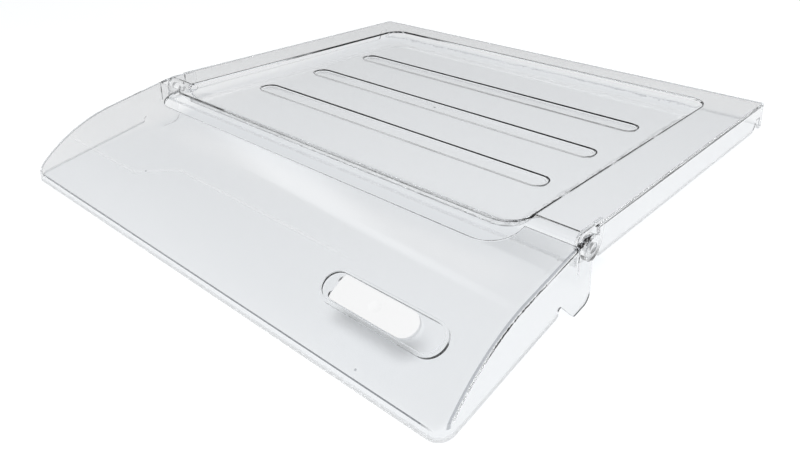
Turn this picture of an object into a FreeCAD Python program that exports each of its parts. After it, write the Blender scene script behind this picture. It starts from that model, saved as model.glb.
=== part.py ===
"""Clear cover of a refrigerator fruit tray: a cover plate with a sunk pan, a hinged front flap and a vent slider.

Every piece is drawn with the cover plate level: X to the right, Y to the rear, Z up. The rear edge of the plate's
top is at y = 0 and its top at z = 0. At the end the pieces are turned together to the attitude in which the cover
lies on a table, on the foot of its rear skirt, the tips of its two hooks and the foot of its front lip.
"""

import FreeCAD
import Part
import math
import os

V = FreeCAD.Vector

# Mouldings in general
wall = 2.5
draft = 0.09  # sideways run of a drafted wall for each millimetre of height
outer_bend = 1.2  # radius outside, where a skirt or cheek turns down from the top
inner_bend = 0.5
edge_radius = 0.8  # rims and cut edges that a hand can touch

# Cover plate
plate_width = 480.0
plate_depth = 338.0
rear_corner_radius = 4.0
skirt_depth = 22.5
lug_gap = 1.2  # between a hinge lug and the side skirt's inner face
lug_length = 32.0
lug_corner_radius = 6.0
notch_front = 18.0  # gap in each side skirt beside the rear skirt
notch_rear = 8.0
notch_top = 12.0
notch_skirt_radius = 9.0

# Pan sunk into the plate, and the three long channels sunk into its floor
pan_border = 40.0  # the plate's level border at each side of the pan
pan_rear = 30.5
pan_overhang = 16.5  # the pan stands out in front of the plate's front edge
pan_corner_radius = 18.0
pan_depth = 10.2
pan_side_slope = 7.5  # how far each side and rear wall runs inwards on its way down
pan_front_slope = 8.0
pan_floor_radius = 14.0
channel_centres = (266.7, 193.5, 116.6)
channel_end_gap = 23.0
channel_half_width = 8.8
channel_slope = 1.2  # how far a channel's sides run inwards on their way down
channel_depth = 2.0
channel_grow = 2.0  # the outside of each channel is this much larger all round
channel_edge_radius = 0.8

# Bends with an even wall: the plate's front edge, and the flap's edge along its cheeks and its lip
front_bend = 7.0
flap_bend = 5.5
sheet_end_radius = 0.8  # rounding of the flap's ends at its rear and around its opening

# Front flap: its top is a straight run and then an arc, seen from the side
flap_proud = 1.05  # each cheek stands this much outside the plate's skirt
flap_gap = 8.0  # between the plate's front edge and the flap's rear edge
flap_rear_drop = 2.9
flap_run = 55.0
flap_run_angle = 11.0
flap_arc_radius = 148.2
flap_length = 130.1
flap_front_radius = 11.0
lip_foot = 66.0
cheek_foot_slope = 0.2
opening_side_gap = 1.6  # between the pan's edge and the flap's cut-out
opening_front_gap = 18.7
opening_radius = 22.0

# Hooks and hinge arms at the rear of the flap's cheeks
hook_notch = 20.5  # in front of the flap's rear edge
hook_notch_drop = 35.0
hook_notch_radius = 2.5
hook_tip = 1.0
hook_tip_radius = 3.0
hook_heel_rise = 3.0
arm_heel_radius = 9.0
arm_width = 17.0
arm_top_drop = 2.2
slit_width = 1.6
slit_depth = 24.5

# Hinge
axis_setback = 10.5  # behind the plate's front edge
axis_drop = 12.0
eye_radius = 9.4
eye_gap = 0.5  # between the eye's inner face and the lug
eye_proud = 0.5  # outer face of the eye beyond the arm
eye_end_gap = 1.1  # between the eye and the front end of the side skirt
pin_radius = 4.0
pin_clearance = 0.1

# Vent pocket in the flap, and its slider
pocket_from_side = 72.15  # from the pocket's middle to the flap's right side
pocket_from_front = 28.2
pocket_length = 96.6
pocket_width = 20.9
pocket_depth = 3.2
pocket_wall = 1.9
pocket_floor = 2.0
vent_radius = 3.0
vent_columns = 2
vent_first = 9.5  # from the pocket's left end
vent_pitch = 11.0
slider_length = 67.5
slider_side_gap = 0.7
slider_end_gap = 0.5
slider_corner_gap = 0.3  # between the square end's corners and the pocket's round end
slider_float = 0.3
slider_thickness = 3.1
slider_left_radius = 3.0
slider_edge_radius = 0.6
slider_rest_gap = 10.4  # free pocket to the left of the slider
dimple_radius = 4.5
dimple_depth = 0.5
dimple_from_left = 34.0
leg_length = 8.0
leg_thickness = 1.6
leg_spacing = 5.0  # over the two legs
barb_reach = 1.2
barb_height = 1.4
slot_gap = 0.4

# Places that follow from the sizes; x is from the middle, and depths are forward of the plate's rear edge
half_width = plate_width / 2
lug_outer = half_width - wall - lug_gap
lug_rear_end = plate_depth - lug_length
axis_back = plate_depth - axis_setback
skirt_front_end = axis_back - eye_radius - eye_end_gap
pan_half_width = half_width - pan_border
pan_front = plate_depth + pan_overhang
channel_half_length = pan_half_width - pan_side_slope - channel_end_gap
flap_half_width = half_width + flap_proud
flap_rear = plate_depth + flap_gap
flap_arc_start = flap_rear + flap_run
flap_front = flap_rear + flap_length
opening_half_width = pan_half_width + opening_side_gap
opening_front = pan_front + opening_front_gap
arm_rear = axis_back - 0.5
arm_front = arm_rear + arm_width
pocket_centre = flap_half_width - pocket_from_side
pocket_back = flap_front - pocket_from_front
slider_width = pocket_width - 2 * slider_side_gap
slider_left = pocket_centre - pocket_length / 2 + slider_rest_gap
leg_centre = slider_left + slider_length / 2
corner_swing = pocket_width / 2 - slider_left_radius - slider_corner_gap
corner_offset = slider_width / 2 - slider_left_radius
left_stop = pocket_width / 2 - slider_left_radius - math.sqrt(corner_swing**2 - corner_offset**2)
travel_left = slider_rest_gap - left_stop
travel_right = pocket_length - slider_length - slider_rest_gap - slider_end_gap
BIG = 2 * plate_width


def face(points):
    """A flat face with straight sides through the points."""
    return Part.Face(Part.makePolygon(list(points) + [points[0]]))


def rounded(points):
    """A closed wire through corners given as (point, radius), with a tangent arc at each corner with a radius."""
    count = len(points)
    ends = []
    for i, (corner, radius) in enumerate(points):
        before = (points[i - 1][0] - corner).normalize()
        after = (points[(i + 1) % count][0] - corner).normalize()
        half = before.getAngle(after) / 2
        reach = radius / math.tan(half)
        middle = corner + (before + after).normalize() * (radius / math.sin(half) - radius) if radius else corner
        ends.append((corner + before * reach, middle, corner + after * reach, radius))
    edges = []
    for i, (start, middle, end, radius) in enumerate(ends):
        if radius:
            edges.append(Part.Arc(start, middle, end).toShape())
        following = ends[(i + 1) % count][0]
        edges.append(Part.LineSegment(end, following).toShape())
    return Part.Wire(edges)


def plan_box(x0, x1, y0, y1, z, radii):
    """A level rectangle with rounded corners; radii are for the rear right, rear left, front left, front right."""
    corners = [V(x1, y1, z), V(x0, y1, z), V(x0, y0, z), V(x1, y0, z)]
    return rounded(list(zip(corners, radii)))


def loft(*wires):
    return Part.makeLoft(list(wires), True, True)


def middle(edge):
    return edge.valueAt((edge.FirstParameter + edge.LastParameter) / 2)


def level_edges(shape, height, front=BIG):
    """The shape's edges that lie level at a height, behind a distance from the plate's rear edge."""
    near = 1e-4
    return [e for e in shape.Edges if abs(e.BoundBox.ZMin - height) < near and abs(e.BoundBox.ZMax - height) < near
            and middle(e).y > -front + near]


def box(x0, x1, y0, y1, z0, z1):
    return Part.makeBox(x1 - x0, y1 - y0, z1 - z0, V(x0, y0, z0))


def side_prism(profile, x0=-BIG, x1=BIG):
    """Carries a face or wire drawn in the YZ plane from x0 to x1."""
    outline = profile if isinstance(profile, Part.Face) else Part.Face(profile)
    outline = outline.copy()
    outline.translate(V(x0, 0, 0))
    return outline.extrude(V(x1 - x0, 0, 0))


def mirrored(shape):
    """The shape and its mirror image across the middle plane."""
    return [shape, shape.mirror(V(0, 0, 0), V(1, 0, 0))]


def stadium(length, width, z=0.0):
    """A level stadium about the origin, long along X."""
    run = length / 2 - width / 2
    r = width / 2
    edges = [
        Part.LineSegment(V(-run, -r, z), V(run, -r, z)).toShape(),
        Part.Arc(V(run, -r, z), V(run + r, 0, z), V(run, r, z)).toShape(),
        Part.LineSegment(V(run, r, z), V(-run, r, z)).toShape(),
        Part.Arc(V(-run, r, z), V(-run - r, 0, z), V(-run, -r, z)).toShape(),
    ]
    return Part.Wire(edges)


# The cover plate


def skirt_shell():
    """The plate's level top with drafted side and rear skirts, open below and at the front."""

    def outline(inset, z, front):
        reach = half_width - inset + draft * -z
        rear = draft * -z - inset
        radius = max(rear_corner_radius - inset, 0.5)
        return plan_box(-reach, reach, -front, rear, z, (radius, radius, 0, 0))

    outer = loft(outline(0, 0, skirt_front_end), outline(0, -skirt_depth, skirt_front_end))
    outer = outer.makeFillet(outer_bend, level_edges(outer, 0, skirt_front_end))
    below = skirt_depth + wall
    open_end = skirt_front_end + wall
    inner = loft(outline(wall, -wall, open_end), outline(wall, -below, open_end))
    inner = inner.makeFillet(inner_bend, level_edges(inner, -wall, open_end))
    return outer.cut(inner)


def front_strip():
    """The narrower front of the plate's top, its front skirt and the two hinge lugs."""
    foot = plate_depth + draft * skirt_depth
    corner = V(0, -plate_depth, 0)
    inner_corner = V(0, wall - plate_depth - draft * wall, -wall)
    bend = rounded([(V(0, -skirt_front_end, 0), 0), (corner, front_bend), (V(0, -foot, -skirt_depth), 0),
                    (V(0, wall - foot, -skirt_depth), 0), (inner_corner, front_bend - wall),
                    (V(0, -skirt_front_end, -wall), 0)])
    pieces = [side_prism(bend, -lug_outer, lug_outer)]
    lug = rounded([(V(0, -foot, -skirt_depth), 0), (V(0, -lug_rear_end, -skirt_depth), lug_corner_radius),
                   (V(0, -lug_rear_end, -wall / 2), 0), (V(0, -plate_depth, -wall / 2), front_bend)])
    pieces += mirrored(side_prism(lug, lug_outer - wall, lug_outer))
    return pieces


def pan_volume(grow, top, bottom):
    """The pan's space, grown by a wall for its outside, between two heights."""

    def outline(drop, z):
        share = drop / pan_depth
        side = pan_side_slope * share
        front = pan_front_slope * share
        radius = pan_corner_radius + grow
        return plan_box(-pan_half_width - grow + side, pan_half_width + grow - side, -pan_front - grow + front,
                        -pan_rear + grow - side, z, (radius,) * 4)

    pan = loft(outline(-top, top), outline(-bottom, bottom))
    return pan.makeFillet(pan_floor_radius + grow, level_edges(pan, bottom))


def around_pan():
    """Everything below the plate's top but the pan's space, with a rounded rim."""
    low = -3 * skirt_depth
    solid = box(-half_width - wall, half_width + wall, -pan_front - 2 * wall, 2 * wall, low, 0)
    solid = solid.cut(pan_volume(0, 0, -pan_depth))
    reach = solid.BoundBox.XLength - wall
    rim = [e for e in level_edges(solid, 0, pan_front + wall) if e.BoundBox.XLength < reach and middle(e).y < wall
           and abs(middle(e).x) < half_width]
    return solid.makeFillet(edge_radius, rim)


def channel(centre, grow, high):
    """The space of a long shallow channel with sloping sides, grown by a wall for its outside."""
    wires = []
    for inset, z in ((0.0, high), (channel_slope, high - channel_depth)):
        width = 2 * (channel_half_width + grow - inset)
        wires.append(stadium(2 * (channel_half_length + grow - inset), width, z))
    shape = loft(*wires)
    shape = shape.makeFillet(channel_edge_radius, level_edges(shape, high - channel_depth))
    shape.translate(V(0, -centre, 0))
    return shape


def rear_notches():
    """The gap between each side skirt and the rear skirt, with a rounded end on the side skirt."""
    low = -2 * skirt_depth
    gap = box(lug_outer - wall, half_width * 1.1, -notch_front, -notch_rear, low, -notch_top)
    r = notch_skirt_radius
    block = box(lug_outer - wall, half_width * 1.1, -notch_front - r, -notch_front, low, r - skirt_depth)
    centre = V(lug_outer - wall, -notch_front - r, r - skirt_depth)
    block = block.cut(Part.makeCylinder(r, half_width, centre, V(1, 0, 0)))
    return mirrored(gap) + mirrored(block)


def cover_plate():
    floor = pan_depth + wall
    outside = pan_volume(wall, 0, -floor)
    outside = outside.makeFillet(edge_radius, level_edges(outside, 0))
    plate = skirt_shell().fuse(front_strip() + [outside])
    plate = plate.cut(rear_notches()).common(around_pan())
    plate = plate.fuse([channel(c, channel_grow, -floor) for c in channel_centres])
    plate = plate.cut([channel(c, 0.0, -pan_depth) for c in channel_centres])
    pin = Part.makeCylinder(pin_radius, arm_outer(axis_drop) - lug_outer + wall / 2,
                            V(lug_outer - wall / 2, -axis_back, -axis_drop), V(1, 0, 0))
    return plate.fuse(mirrored(pin)).removeSplitter()


# The front flap


def arm_outer(drop):
    """Half the width over the flap's cheeks at a drop below the plate's top."""
    return flap_half_width + draft * drop


def top_profile(inset):
    """The corners of the flap's side view at a depth below its top surface: rear end, arc start, middle and end."""
    angle = math.radians(flap_run_angle)
    start = V(0, -flap_arc_start, -flap_rear_drop - (flap_arc_start - flap_rear) * math.tan(angle))
    centre = start + V(0, math.sin(angle), -math.cos(angle)) * flap_arc_radius
    radius = flap_arc_radius - inset

    def on_arc(turn):
        return centre + V(0, -math.sin(turn), math.cos(turn)) * radius

    last = math.radians(flap_run_angle + 38.0)
    begin = on_arc(angle)
    rear = begin + V(0, math.cos(angle), math.sin(angle)) * ((flap_arc_start - axis_back) / math.cos(angle) + eye_radius)
    return rear, begin, on_arc((angle + last) / 2), on_arc(last)


def under_top(inset):
    """All the space below the flap's top surface, or below its underside."""
    rear, begin, middle, end = top_profile(inset)
    low = -2 * lip_foot
    edges = [
        Part.LineSegment(rear, begin).toShape(),
        Part.Arc(begin, middle, end).toShape(),
        Part.LineSegment(end, V(0, end.y, low)).toShape(),
        Part.LineSegment(V(0, end.y, low), V(0, rear.y, low)).toShape(),
        Part.LineSegment(V(0, rear.y, low), rear).toShape(),
    ]
    return side_prism(Part.Wire(edges))


def tub(inset):
    """The space between the drafted cheeks and behind the drafted lip."""

    def outline(z):
        reach = arm_outer(-z) - inset
        front = flap_front - inset - draft * z
        radius = flap_front_radius - inset
        return plan_box(-reach, reach, -front, -axis_back + 2 * eye_radius, z, (0, 0, radius, radius))

    return loft(outline(0), outline(-2 * lip_foot))


def table_drop(back):
    """How far the table lies below the plate's top, at a distance forward of the plate's rear edge."""
    rear = -draft * skirt_depth
    front = flap_front + draft * lip_foot
    return skirt_depth + (lip_foot - skirt_depth) * (back - rear) / (front - rear)


def cheek_outline():
    """The side view of the flap: cheek foot, notch, hook and hinge arm. Above, it runs past the flap's top."""
    front = flap_front + draft * lip_foot
    notch = flap_rear + hook_notch
    meet = notch + 1.0
    notch_foot = lip_foot - cheek_foot_slope * (front - meet)
    past = front + wall
    tip_back = flap_rear + hook_tip
    tip = table_drop(tip_back)
    return rounded([
        (V(0, -past, -lip_foot - cheek_foot_slope * wall), 0),
        (V(0, -meet, -notch_foot), 1.5),
        (V(0, -notch, -hook_notch_drop), hook_notch_radius),
        (V(0, -tip_back, -tip), hook_tip_radius),
        (V(0, -arm_rear, -tip + hook_heel_rise), arm_heel_radius),
        (V(0, -arm_rear, -axis_drop), 0),
        (V(0, -arm_rear, -arm_top_drop), 0),
        (V(0, -arm_front, -arm_top_drop), 0),
        (V(0, -arm_front, lip_foot), 0),
        (V(0, -past, lip_foot), 0),
    ])


def hinge_eyes():
    """Solid eyes on the arms; the pin holes are bored afterwards."""
    length = arm_outer(axis_drop) + eye_proud - lug_outer - eye_gap
    start = V(lug_outer + eye_gap, -axis_back, -axis_drop)
    return mirrored(Part.makeCylinder(eye_radius, length, start, V(1, 0, 0)))


def pocket_frame():
    """Placement of the vent pocket: its centre on the flap's top surface, turned to the surface's slope."""
    rear, begin, middle, end = top_profile(0)
    angle = math.radians(flap_run_angle)
    centre = begin + V(0, math.sin(angle), -math.cos(angle)) * flap_arc_radius
    turn = math.asin((pocket_back + centre.y) / flap_arc_radius)
    point = centre + V(pocket_centre, -math.sin(turn) * flap_arc_radius, math.cos(turn) * flap_arc_radius)
    return FreeCAD.Placement(point, FreeCAD.Rotation(V(1, 0, 0), math.degrees(turn)))


def seated(shape):
    """Moves a shape drawn about the origin into the vent pocket's frame."""
    shape.Placement = pocket_frame().multiply(shape.Placement)
    return shape


def pocket_cuts():
    """The pocket, its vent holes and the slot for the slider's legs, in the pocket's own frame."""
    cuts = [Part.Face(stadium(pocket_length, pocket_width, -pocket_depth)).extrude(V(0, 0, 4 * pocket_depth))]
    depth = pocket_depth + pocket_floor
    for column in range(vent_columns):
        for side in (-1, 1):
            x = vent_first + column * vent_pitch - pocket_length / 2
            start = V(x, side * vent_pitch / 2, -2 * depth)
            cuts.append(Part.makeCylinder(vent_radius, 2 * depth, start, V(0, 0, 1)))
    middle = leg_centre - pocket_centre
    half = leg_length / 2 + slot_gap
    reach = leg_spacing / 2 + slot_gap
    cuts.append(box(middle - half - travel_left, middle + half + travel_right, -reach, reach, -2 * depth, 0))
    return cuts


def crest(shape):
    """The edges where the flap's top turns down into its cheeks and its lip."""
    found = []
    for e in shape.Edges:
        point = middle(e)
        if point.y > -axis_back or point.z < -lip_foot:
            continue
        sides = [f for f in shape.ancestorsOfType(e, Part.Face)]
        rises = [abs(f.normalAt(*f.Surface.parameter(point)).z) for f in sides]
        if len(rises) == 2 and min(rises) < 0.2 < max(rises):
            found.append(e)
    return found


def opening_space():
    """What the flap's run leaves free at its rear edge and around the pan, with its ends square and rounded."""
    end = (opening_front - flap_rear) / math.cos(math.radians(flap_run_angle))
    rear = flap_rear - axis_back
    inside = arm_outer(flap_rear_drop) - wall

    def outline(grow, low, high):
        gap = Part.Face(plan_box(-opening_half_width - grow, opening_half_width + grow, -end - grow, rear, low,
                                 (0, 0, opening_radius + grow, opening_radius + grow)))
        back = Part.Face(plan_box(-inside, inside, -grow, rear, low, (0, 0, 0, 0)))
        return gap.extrude(V(0, 0, high - low)).fuse(back.extrude(V(0, 0, high - low)))

    sheet = box(-inside - wall, inside + wall, -2 * end, rear - wall, -wall, 0)
    sheet = sheet.cut(outline(0, -2 * wall, wall)).removeSplitter()
    ends = [e for e in level_edges(sheet, 0) + level_edges(sheet, -wall)
            if middle(e).y > -end - 1e-3 and abs(middle(e).x) < inside and middle(e).y < 1e-3]
    sheet = sheet.makeFillet(sheet_end_radius, ends)
    space = outline(sheet_end_radius + wall / 4, -lip_foot / 2, lip_foot / 2).cut(sheet)
    space.translate(V(0, -flap_rear, -flap_rear_drop))
    space.rotate(V(0, -flap_rear, -flap_rear_drop), V(1, 0, 0), flap_run_angle)
    return space


def front_flap():
    outer = tub(0).common(under_top(0))
    outer = outer.makeFillet(flap_bend, crest(outer))
    inner = tub(wall).common(under_top(wall))
    inner = inner.makeFillet(flap_bend - wall, crest(inner))
    shell = outer.cut(inner)
    arm_zone = box(-BIG, BIG, -flap_rear, flap_rear, -2 * lip_foot, lip_foot)
    arm_zone.rotate(V(0, -flap_rear, -flap_rear_drop), V(1, 0, 0), flap_run_angle)
    shell = shell.cut(tub(wall).common(arm_zone))
    shell = shell.common(side_prism(cheek_outline()))
    shell = shell.cut(opening_space())
    slit = box(-BIG, BIG, -arm_front - slit_width, -arm_front, -slit_depth, lip_foot)
    shell = shell.cut(slit.cut(tub(wall)))
    boss = seated(Part.Face(stadium(pocket_length + 2 * pocket_wall, pocket_width + 2 * pocket_wall)).extrude(
        V(0, 0, -pocket_depth - pocket_floor)))
    shell = shell.fuse(hinge_eyes() + [boss.common(under_top(0))])
    bores = mirrored(Part.makeCylinder(pin_radius + pin_clearance, half_width,
                                       V(lug_outer, -axis_back, -axis_drop), V(1, 0, 0)))
    return shell.cut(bores + [seated(cut) for cut in pocket_cuts()]).removeSplitter()


# The vent slider


def vent_slider():
    """A flat white cap, round at its right end, with two barbed legs through the pocket's slot."""
    r = slider_width / 2
    low = slider_float - pocket_depth
    cap = plan_box(0, slider_length, -r, r, low, (r * 0.999, slider_left_radius, slider_left_radius, r * 0.999))
    cap = Part.Face(cap).extrude(V(0, 0, slider_thickness))
    rim = [e for e in cap.Edges if e.BoundBox.ZMin > low + slider_thickness / 2 and e.BoundBox.ZLength < 1e-6]
    cap = cap.makeFillet(slider_edge_radius, rim)
    ball = (dimple_radius**2 + dimple_depth**2) / (2 * dimple_depth)
    top = low + slider_thickness
    cap = cap.cut(Part.makeSphere(ball, V(dimple_from_left, 0, top - dimple_depth + ball)))
    half = leg_length / 2
    under = -pocket_depth - pocket_floor - slider_float
    outer = leg_spacing / 2
    leg = face([V(0, outer, low + wall / 2), V(0, outer, under), V(0, outer + barb_reach, under),
                V(0, outer, under - barb_height), V(0, outer - leg_thickness, under - barb_height),
                V(0, outer - leg_thickness, low + wall / 2)])
    middle = slider_length / 2
    legs = [side_prism(leg, middle - half, middle + half)]
    legs.append(legs[0].mirror(V(0, 0, 0), V(0, 1, 0)))
    slider = cap.fuse(legs).removeSplitter()
    slider.translate(V(slider_left - pocket_centre, 0, 0))
    return seated(slider)


# The table attitude


def lay_down(pieces):
    """Turns and shifts all pieces together so that they stand on z = 0 with their box's bottom centre at the origin."""
    turn = -math.degrees(math.atan2(table_drop(plate_depth) - table_drop(0), plate_depth))
    for shape in pieces.values():
        shape.rotate(V(0, 0, 0), V(1, 0, 0), turn)
    whole = Part.makeCompound(list(pieces.values())).optimalBoundingBox(False, False)
    shift = V(0, -(whole.YMin + whole.YMax) / 2, -whole.ZMin)
    for shape in pieces.values():
        shape.translate(shift)
    return turn, shift


parts = {"cover_plate": cover_plate(), "front_flap": front_flap(), "vent_slider": vent_slider()}
turn, shift = lay_down(parts)
os.makedirs("parts", exist_ok=True)
for name, shape in parts.items():
    solids = shape.Solids
    body = solids[0] if len(solids) == 1 else Part.makeCompound(solids)
    body.exportStep(f"parts/{name}.step")
    b = shape.optimalBoundingBox(False, False)
    print(f"{name}: {len(solids)} solid, valid {shape.isValid()}, volume {shape.Volume / 1000:.1f} cm3, "
          f"x {b.XMin:.2f} {b.XMax:.2f}, y {b.YMin:.2f} {b.YMax:.2f}, z {b.ZMin:.2f} {b.ZMax:.2f}")
placed = FreeCAD.Placement(shift, FreeCAD.Rotation(V(1, 0, 0), turn))
hinge = placed.multVec(V(0, -axis_back, -axis_drop))
print(f"turn {turn:.4f} deg, shift y {shift.y:.4f} z {shift.z:.4f}")
print(f"hinge axis at y {hinge.y:.3f} z {hinge.z:.3f}; slider travel {-travel_left:.2f} to {travel_right:.2f}")
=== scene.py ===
"""Clear cover of a refrigerator fruit tray, lying on a white table: ribbed plate, front flap and vent slider."""

import math

import bpy
import numpy as np
from mathutils import Euler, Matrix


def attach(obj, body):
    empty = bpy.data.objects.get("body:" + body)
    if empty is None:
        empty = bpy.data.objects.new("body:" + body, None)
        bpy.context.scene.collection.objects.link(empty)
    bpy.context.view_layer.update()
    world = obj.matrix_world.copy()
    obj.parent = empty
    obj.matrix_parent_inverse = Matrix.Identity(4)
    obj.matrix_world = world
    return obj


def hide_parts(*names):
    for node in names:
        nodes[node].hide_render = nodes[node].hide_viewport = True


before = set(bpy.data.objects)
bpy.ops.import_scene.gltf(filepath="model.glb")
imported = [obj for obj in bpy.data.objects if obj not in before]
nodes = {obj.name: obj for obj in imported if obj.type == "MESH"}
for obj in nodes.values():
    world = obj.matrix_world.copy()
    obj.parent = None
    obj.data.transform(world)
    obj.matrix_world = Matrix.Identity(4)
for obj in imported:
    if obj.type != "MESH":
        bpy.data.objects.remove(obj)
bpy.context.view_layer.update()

# The cover plate is one injection moulding of clear general-purpose polystyrene, 2.5 mm thick and polished like
# its mould. The eye sees the white table through it, and thin dark lines where its walls bend or are seen edge on.


def linear(hex_colour):
    """An sRGB colour such as "#e3e4e6" as linear red, green, blue and alpha 1."""
    values = [int(hex_colour[i:i + 2], 16) / 255 for i in (1, 3, 5)]
    return [v / 12.92 if v <= 0.04045 else ((v + 0.055) / 1.055) ** 2.4 for v in values] + [1.0]


def add_node(tree, kind, settings=None, values=None, links=None):
    """Adds a node with its properties, its sockets' values, and links into its sockets."""
    node = tree.nodes.new(kind)
    for name, value in (settings or {}).items():
        setattr(node, name, value)
    for socket, value in (values or {}).items():
        node.inputs[socket].default_value = value
    for socket, source in (links or {}).items():
        tree.links.new(source, node.inputs[socket])
    return node


def new_material(name):
    """An empty node material and its tree."""
    material = bpy.data.materials.new(name)
    material.use_nodes = True
    material.node_tree.nodes.clear()
    return material, material.node_tree


def painted_edge_shade(tree, place, tint, shade_colour, across, distance, side, least, reach):
    """A thin line of painted shade, standing for the dark an edge makes where it traps the light, where a distance
    along one direction is reached. It lies only on the side that is past the least distance along another direction,
    and no further out than its reach."""
    away = add_node(tree, "ShaderNodeVectorMath", {"operation": "DOT_PRODUCT"}, {1: across}, {0: place})
    away = add_node(tree, "ShaderNodeMath", {"operation": "SUBTRACT"}, {1: distance}, {0: away.outputs["Value"]})
    away = add_node(tree, "ShaderNodeMath", {"operation": "ABSOLUTE"}, links={0: away.outputs[0]})
    line = add_node(tree, "ShaderNodeMapRange", {"interpolation_type": "SMOOTHSTEP"}, {
        1: 0.0003, 2: 0.0008, 3: 1.0, 4: 0.0}, {0: away.outputs[0]})
    past = add_node(tree, "ShaderNodeVectorMath", {"operation": "DOT_PRODUCT"}, {1: side}, {0: place})
    past = add_node(tree, "ShaderNodeMath", {"operation": "GREATER_THAN"}, {1: least}, {0: past.outputs["Value"]})
    line = add_node(tree, "ShaderNodeMath", {"operation": "MULTIPLY"}, links={0: line.outputs[0], 1: past.outputs[0]})
    middle = add_node(tree, "ShaderNodeVectorMath", {"operation": "ABSOLUTE"}, links={0: place})
    middle = add_node(tree, "ShaderNodeSeparateXYZ", links={0: middle.outputs[0]})
    inside = add_node(tree, "ShaderNodeMapRange", values={1: reach - 0.01, 2: reach, 3: 1.0, 4: 0.0}, links={
        0: middle.outputs["X"]})
    line = add_node(tree, "ShaderNodeMath", {"operation": "MULTIPLY"}, links={
        0: line.outputs[0], 1: inside.outputs[0]})
    return add_node(tree, "ShaderNodeMix", {"data_type": "RGBA"}, {7: linear(shade_colour)}, {
        0: line.outputs[0], 6: tint})


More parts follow.
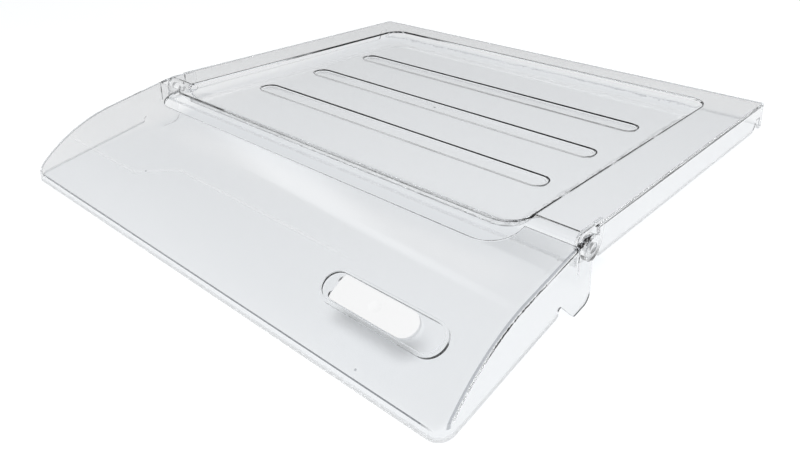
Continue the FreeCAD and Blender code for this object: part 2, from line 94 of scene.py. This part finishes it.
def clear_polystyrene(name, ejector_pins, rim_up, rim_height, rim_end, pale_line=False, painted_edge_shades=()):
    """General-purpose polystyrene as moulded: IOR 1.59, glossy, colourless, with the faint unevenness of a hand
    polished mould (waves of about 40 mm), a small dark mark of each ejector pin, a pale line across the flap, a pale
    matt line along the lower rim, where the two halves of the mould part, and thin lines of painted shade along the
    edges given, where an edge traps the light."""
    material, tree = new_material(name)
    place = add_node(tree, "ShaderNodeTexCoord").outputs["Object"]
    waves = add_node(tree, "ShaderNodeTexNoise", {"noise_dimensions": "3D"}, {"Scale": 25.0, "Detail": 2.0}, {
        "Vector": place})
    polish = add_node(tree, "ShaderNodeMapRange", values={3: 0.012, 4: 0.035}, links={0: waves.outputs[0]})
    nearest = None
    for pin in ejector_pins:
        away = add_node(tree, "ShaderNodeVectorMath", {"operation": "DISTANCE"}, {1: pin}, {0: place})
        nearest = away.outputs["Value"] if nearest is None else add_node(
            tree, "ShaderNodeMath", {"operation": "MINIMUM"}, links={0: nearest, 1: away.outputs["Value"]}).outputs[0]
    dent = add_node(tree, "ShaderNodeMapRange", {"interpolation_type": "SMOOTHSTEP"}, {
        1: 0.0008, 2: 0.0020, 3: 0.0, 4: 1.0}, {0: nearest})
    relief = add_node(tree, "ShaderNodeMath", {"operation": "MULTIPLY_ADD"}, {1: 0.25}, {
        0: waves.outputs[0], 2: dent.outputs[0]})
    bump = add_node(tree, "ShaderNodeBump", values={"Strength": 1.0, "Distance": 0.00012}, links={
        "Height": relief.outputs[0]})
    above = add_node(tree, "ShaderNodeVectorMath", {"operation": "DOT_PRODUCT"}, {1: rim_up}, {0: place})
    above = add_node(tree, "ShaderNodeMath", {"operation": "SUBTRACT"}, {1: rim_height}, {
        0: above.outputs["Value"]})
    above = add_node(tree, "ShaderNodeMath", {"operation": "ABSOLUTE"}, links={0: above.outputs[0]})
    rim = add_node(tree, "ShaderNodeMapRange", {"interpolation_type": "SMOOTHSTEP"}, {
        1: 0.0010, 2: 0.0020, 3: 0.55, 4: 0.0}, {0: above.outputs[0]})
    spot = add_node(tree, "ShaderNodeSeparateXYZ", links={0: place})
    in_front = add_node(tree, "ShaderNodeMath", {"operation": "LESS_THAN"}, {1: rim_end}, {0: spot.outputs["Y"]})
    rim = add_node(tree, "ShaderNodeMath", {"operation": "MULTIPLY"}, links={
        0: rim.outputs[0], 1: in_front.outputs[0]})
    rough = add_node(tree, "ShaderNodeMath", {"operation": "ADD"}, links={0: polish.outputs[0], 1: rim.outputs[0]})
    clear = add_node(tree, "ShaderNodeMath", {"operation": "SUBTRACT"}, {0: 1.0}, {1: rim.outputs[0]})
    spots = add_node(tree, "ShaderNodeMapRange", {"interpolation_type": "SMOOTHSTEP"}, {1: 0.0005, 2: 0.0012}, {
        0: nearest})
    tint = add_node(tree, "ShaderNodeMix", {"data_type": "RGBA"}, {
        6: linear("#a4a6aa"), 7: linear("#fdfdfd")}, {0: spots.outputs[0]})
    # Painted shade: each edge given darkens the tint in a thin line, for the light it traps.
    for shade_line in painted_edge_shades:
        tint = painted_edge_shade(tree, place, tint.outputs[2], *shade_line)
    body = add_node(tree, "ShaderNodeBsdfPrincipled", values={"IOR": 1.59}, links={
        "Base Color": tint.outputs[2], "Roughness": rough.outputs[0], "Normal": bump.outputs[0],
        "Transmission Weight": clear.outputs[0]})
    # A pale milky line across the flap, drawn with less transmission.
    if pale_line:
        course = add_node(tree, "ShaderNodeMapRange", values={1: -0.1182, 2: -0.0760, 3: -0.2050, 4: -0.1863}, links={
            0: spot.outputs["X"]})
        aside = add_node(tree, "ShaderNodeMath", {"operation": "SUBTRACT"}, links={
            0: spot.outputs["Y"], 1: course.outputs[0]})
        aside = add_node(tree, "ShaderNodeMath", {"operation": "ABSOLUTE"}, links={0: aside.outputs[0]})
        along = add_node(tree, "ShaderNodeMapRange", values={1: 0.08, 2: 0.13, 3: 0.20, 4: 0.0}, links={
            0: spot.outputs["X"]})
        along = add_node(tree, "ShaderNodeMath", {"operation": "MULTIPLY"}, links={
            0: along.outputs[0],
            1: add_node(tree, "ShaderNodeMath", {"operation": "GREATER_THAN"}, {1: -0.236}, {
                0: spot.outputs["X"]}).outputs[0]})
        milk = add_node(tree, "ShaderNodeMapRange", {"interpolation_type": "SMOOTHSTEP"}, {
            1: 0.0003, 2: 0.0009, 4: 0.0}, {0: aside.outputs[0], 3: along.outputs[0]})
        clear = add_node(tree, "ShaderNodeMath", {"operation": "SUBTRACT"}, links={
            0: clear.outputs[0], 1: milk.outputs[0]})
        tree.links.new(clear.outputs[0], body.inputs["Transmission Weight"])
    lamp_way = add_node(tree, "ShaderNodeBsdfTransparent", values={"Color": linear("#f8f9fa")})
    path = add_node(tree, "ShaderNodeLightPath")
    from_table = add_node(tree, "ShaderNodeMath", {"operation": "MAXIMUM"}, links={
        0: path.outputs["Is Shadow Ray"], 1: path.outputs["Is Diffuse Ray"]})
    mix = add_node(tree, "ShaderNodeMixShader", links={
        0: from_table.outputs[0], 1: body.outputs[0], 2: lamp_way.outputs[0]})
    add_node(tree, "ShaderNodeOutputMaterial", links={"Surface": mix.outputs[0]})
    return material


def moulding(name, node, body, material):
    """The CAD node's own surface with its loose triangles joined, so that light bends evenly round each bend:
    corners in the same place become one, and each corner takes the direction of the largest face beside it."""
    mesh = nodes[node].data
    corners = np.empty(len(mesh.vertices) * 3)
    mesh.vertices.foreach_get("co", corners)
    places, which = np.unique(np.round(corners.reshape(-1, 3), 7), axis=0, return_inverse=True)
    users = np.empty(len(mesh.loops), int)
    mesh.loops.foreach_get("vertex_index", users)
    faces = which.ravel()[users].reshape(-1, 3)
    whole = (faces[:, 0] != faces[:, 1]) & (faces[:, 1] != faces[:, 2]) & (faces[:, 2] != faces[:, 0])
    joined = bpy.data.meshes.new(name)
    joined.from_pydata(places.tolist(), [], faces[whole].tolist())
    joined.shade_smooth()
    joined.set_sharp_from_angle(angle=math.radians(28))
    joined.materials.append(material)
    piece = bpy.data.objects.new(name, joined)
    bpy.context.scene.collection.objects.link(piece)
    even = piece.modifiers.new("even bends", "WEIGHTED_NORMAL")
    even.mode = "FACE_AREA"
    even.weight = 100
    even.keep_sharp = True
    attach(piece, body)
    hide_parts(node)


gate_mark = (0.0, 0.0485, 0.0282)
moulding("plate_moulding", "cover_plate", "cover",
         clear_polystyrene("clear polystyrene plate", [gate_mark], (0.0, 0.08950, 0.99599), 0.02175, 1.0))

# The front flap is a second moulding of the same polystyrene, curved like a visor. Two ejector pins left their round
# marks on its panel, and a pale line runs across it. Thin lines of painted shade darken its lip's inner corner, a
# line across its panel and both its cheeks, where their edges trap the light.

ejector_marks = [(-0.10642, -0.20048, 0.03389), (0.17739, -0.23754, 0.01120)]
moulding("flap_moulding", "front_flap", "flap",
         clear_polystyrene("clear polystyrene flap", ejector_marks, (0.0, -0.1064, 0.9943), 0.02586, -0.122, True,
                           [("#505257", (0.0, 0.0, 1.0), 0.0073, (0.0, -1.0, 0.0), 0.2411, 0.240),
                            ("#505257", (0.0, 1.0, 0.0), -0.1291, (0.0, 0.0, 1.0), 0.0455, 0.184),
                            ("#9a9da2", (1.0, 0.00806, 0.08964), 0.24383, (0.0, 0.0, 1.0), 0.008, 0.3),
                            ("#9a9da2", (-1.0, 0.00806, 0.08964), 0.24383, (0.0, 0.0, 1.0), 0.008, 0.3)]))

# The vent slider is white ABS, moulded in a finely sanded mould, and snapped into the flap's pocket.


def white_abs(name):
    """Opaque white ABS: IOR 1.53, satin, with a sanded grain drawn at 1 mm because the real 0.1 mm can't show."""
    material, tree = new_material(name)
    place = add_node(tree, "ShaderNodeTexCoord").outputs["Object"]
    grain = add_node(tree, "ShaderNodeTexNoise", values={"Scale": 1000.0, "Detail": 3.0}, links={"Vector": place})
    satin = add_node(tree, "ShaderNodeMapRange", values={3: 0.34, 4: 0.46}, links={0: grain.outputs[0]})
    tone = add_node(tree, "ShaderNodeMix", {"data_type": "RGBA"}, {
        6: linear("#fdfdfd"), 7: linear("#ffffff")}, {0: grain.outputs[0]})
    bump = add_node(tree, "ShaderNodeBump", values={"Strength": 0.25, "Distance": 0.00002}, links={
        "Height": grain.outputs[0]})
    body = add_node(tree, "ShaderNodeBsdfPrincipled", values={"IOR": 1.53}, links={
        "Base Color": tone.outputs[2], "Roughness": satin.outputs[0], "Normal": bump.outputs[0]})
    add_node(tree, "ShaderNodeOutputMaterial", links={"Surface": body.outputs[0]})
    return material


slider_mesh = nodes["vent_slider"].data
slider_mesh.materials.clear()
slider_mesh.materials.append(white_abs("white ABS"))

# The table is a white laminate that runs out of the picture on all sides.


def table_mesh(half_side, height):
    """A square of one face."""
    mesh = bpy.data.meshes.new("table")
    corners = half_side * np.array([[-1, -1, 0], [1, -1, 0], [1, 1, 0], [-1, 1, 0]], float) + [0, 0, height]
    mesh.from_pydata(corners.tolist(), [], [[0, 1, 2, 3]])
    return mesh


def table_top(name, painted_shade_centre, painted_shade_half_size):
    """White laminate. The camera sees it glow to full white; through the plastic and in its gloss it glows less, and
    it glows less again in a strip of painted shade, for the shade of the cover, which shows through the slot behind
    the flap."""
    material, tree = new_material(name)
    board = add_node(tree, "ShaderNodeBsdfDiffuse", values={"Color": linear("#ecedee")})
    path = add_node(tree, "ShaderNodeLightPath")
    through = add_node(tree, "ShaderNodeMath", {"operation": "MAXIMUM"}, links={
        0: path.outputs["Is Glossy Ray"], 1: path.outputs["Is Transmission Ray"]})
    place = add_node(tree, "ShaderNodeTexCoord")
    away = add_node(tree, "ShaderNodeVectorMath", {"operation": "SUBTRACT"}, {1: painted_shade_centre}, {
        0: place.outputs["Object"]})
    away = add_node(tree, "ShaderNodeVectorMath", {"operation": "DIVIDE"}, {1: painted_shade_half_size}, {
        0: away.outputs[0]})
    away = add_node(tree, "ShaderNodeVectorMath", {"operation": "ABSOLUTE"}, links={0: away.outputs[0]})
    away = add_node(tree, "ShaderNodeSeparateXYZ", links={0: away.outputs[0]})
    away = add_node(tree, "ShaderNodeMath", {"operation": "MAXIMUM"}, links={0: away.outputs["X"], 1: away.outputs["Y"]})
    outside_painted_shade = add_node(tree, "ShaderNodeMapRange", {"interpolation_type": "SMOOTHSTEP"}, {1: 1.0, 2: 1.45}, {
        0: away.outputs[0]})
    full = add_node(tree, "ShaderNodeMath", {"operation": "MULTIPLY_ADD"}, {1: 0.25, 2: 0.05}, {
        0: outside_painted_shade.outputs[0]})
    dim = add_node(tree, "ShaderNodeMath", {"operation": "MULTIPLY_ADD"}, {1: 0.11, 2: 0.08}, {
        0: outside_painted_shade.outputs[0]})
    dim = add_node(tree, "ShaderNodeMath", {"operation": "MULTIPLY"}, links={
        0: through.outputs[0], 1: dim.outputs[0]})
    strength = add_node(tree, "ShaderNodeMath", {"operation": "MULTIPLY_ADD"}, links={
        0: path.outputs["Is Camera Ray"], 1: full.outputs[0], 2: dim.outputs[0]})
    glow = add_node(tree, "ShaderNodeEmission", values={"Color": linear("#ffffff")}, links={
        "Strength": strength.outputs[0]})
    both = add_node(tree, "ShaderNodeAddShader", links={0: board.outputs[0], 1: glow.outputs[0]})
    add_node(tree, "ShaderNodeOutputMaterial", links={"Surface": both.outputs[0]})
    return material


table = bpy.data.objects.new("table", table_mesh(6.0, 0.0))
# The strip of painted shade lies under the front of the cover, behind the flap.
table.data.materials.append(table_top("white laminate", (-0.040, -0.0585, 0.0), (0.200, 0.0145, 1.0)))
bpy.context.scene.collection.objects.link(table)

# The light: a dim room with a bright screen to the left, and a large soft lamp above and behind the camera. The
# lamp itself is hidden from the gloss, because its sharp white image shows nowhere in the plastic.


def soft_lamp(name, place, target, width, height, watts):
    """A rectangular lamp that faces the target."""
    data = bpy.data.lights.new(name, "AREA")
    data.shape = "RECTANGLE"
    data.size = width
    data.size_y = height
    data.energy = watts
    lamp = bpy.data.objects.new(name, data)
    direction = np.array(target, float) - np.array(place, float)
    flat = math.hypot(direction[0], direction[1])
    lamp.rotation_euler = (math.atan2(flat, -direction[2]), 0.0, math.atan2(-direction[0], direction[1]))
    lamp.location = place
    bpy.context.scene.collection.objects.link(lamp)
    return lamp


key_lamp = soft_lamp("key lamp", (1.4, -1.4, 4.0), (0.0, 0.0, 0.0), 2.0, 2.0, 100)
key_lamp.visible_glossy = False
key_lamp.visible_transmission = False

world = bpy.data.worlds.new("room")
bpy.context.scene.world = world
world.use_nodes = True
room = world.node_tree
room.nodes.clear()
room_path = add_node(room, "ShaderNodeLightPath")
room_seen = add_node(room, "ShaderNodeMath", {"operation": "MAXIMUM"}, links={
    0: room_path.outputs["Is Glossy Ray"], 1: room_path.outputs["Is Transmission Ray"]})
room_way = add_node(room, "ShaderNodeTexCoord")
room_height = add_node(room, "ShaderNodeSeparateXYZ", links={0: room_way.outputs["Generated"]})
room_walls = add_node(room, "ShaderNodeMapRange", {"interpolation_type": "SMOOTHSTEP"}, {
    1: 0.35, 2: 0.75, 3: 0.50, 4: 0.04}, {0: room_height.outputs["Z"]})
room_aside = add_node(room, "ShaderNodeMath", {"operation": "SUBTRACT"}, {1: 0.41}, {0: room_height.outputs["Y"]})
room_aside = add_node(room, "ShaderNodeMath", {"operation": "ABSOLUTE"}, links={0: room_aside.outputs[0]})
screen = add_node(room, "ShaderNodeMapRange", {"interpolation_type": "SMOOTHSTEP"}, {
    1: 0.01, 2: 0.06, 3: 0.6, 4: 0.0}, {0: room_aside.outputs[0]})
screen_end = add_node(room, "ShaderNodeMapRange", {"interpolation_type": "SMOOTHSTEP"}, {
    1: -0.60, 2: -0.30, 3: 1.0, 4: 0.0}, {0: room_height.outputs["X"]})
room_walls = add_node(room, "ShaderNodeMath", {"operation": "MULTIPLY_ADD"}, links={
    0: screen.outputs[0], 1: screen_end.outputs[0], 2: room_walls.outputs[0]})
room_strength = add_node(room, "ShaderNodeMix", {"data_type": "FLOAT"}, {2: 0.52}, {
    0: room_seen.outputs[0], 3: room_walls.outputs[0]})
room_light = add_node(room, "ShaderNodeBackground", values={"Color": linear("#f6f7f8")}, links={
    "Strength": room_strength.outputs[0]})
add_node(room, "ShaderNodeOutputWorld", links={"Surface": room_light.outputs[0]})

# The camera stands at the front right of the cover and looks down at it.
camera_data = bpy.data.cameras.new("camera")
camera_data.sensor_width = 36.0
camera_data.lens = 30.96
camera_data.clip_start = 0.01
camera = bpy.data.objects.new("camera", camera_data)
camera.location = (0.4026, -0.42324, 0.29883)
camera.rotation_euler = Euler([math.radians(a) for a in (56.1665, 3.2185, 42.1760)])
bpy.context.scene.collection.objects.link(camera)
bpy.context.scene.camera = camera

scene = bpy.context.scene
scene.view_settings.view_transform = "Standard"
scene.cycles.caustics_reflective = False
scene.cycles.caustics_refractive = False
scene.cycles.max_bounces = 24
scene.cycles.transmission_bounces = 24
scene.cycles.glossy_bounces = 12
scene.cycles.transparent_max_bounces = 24
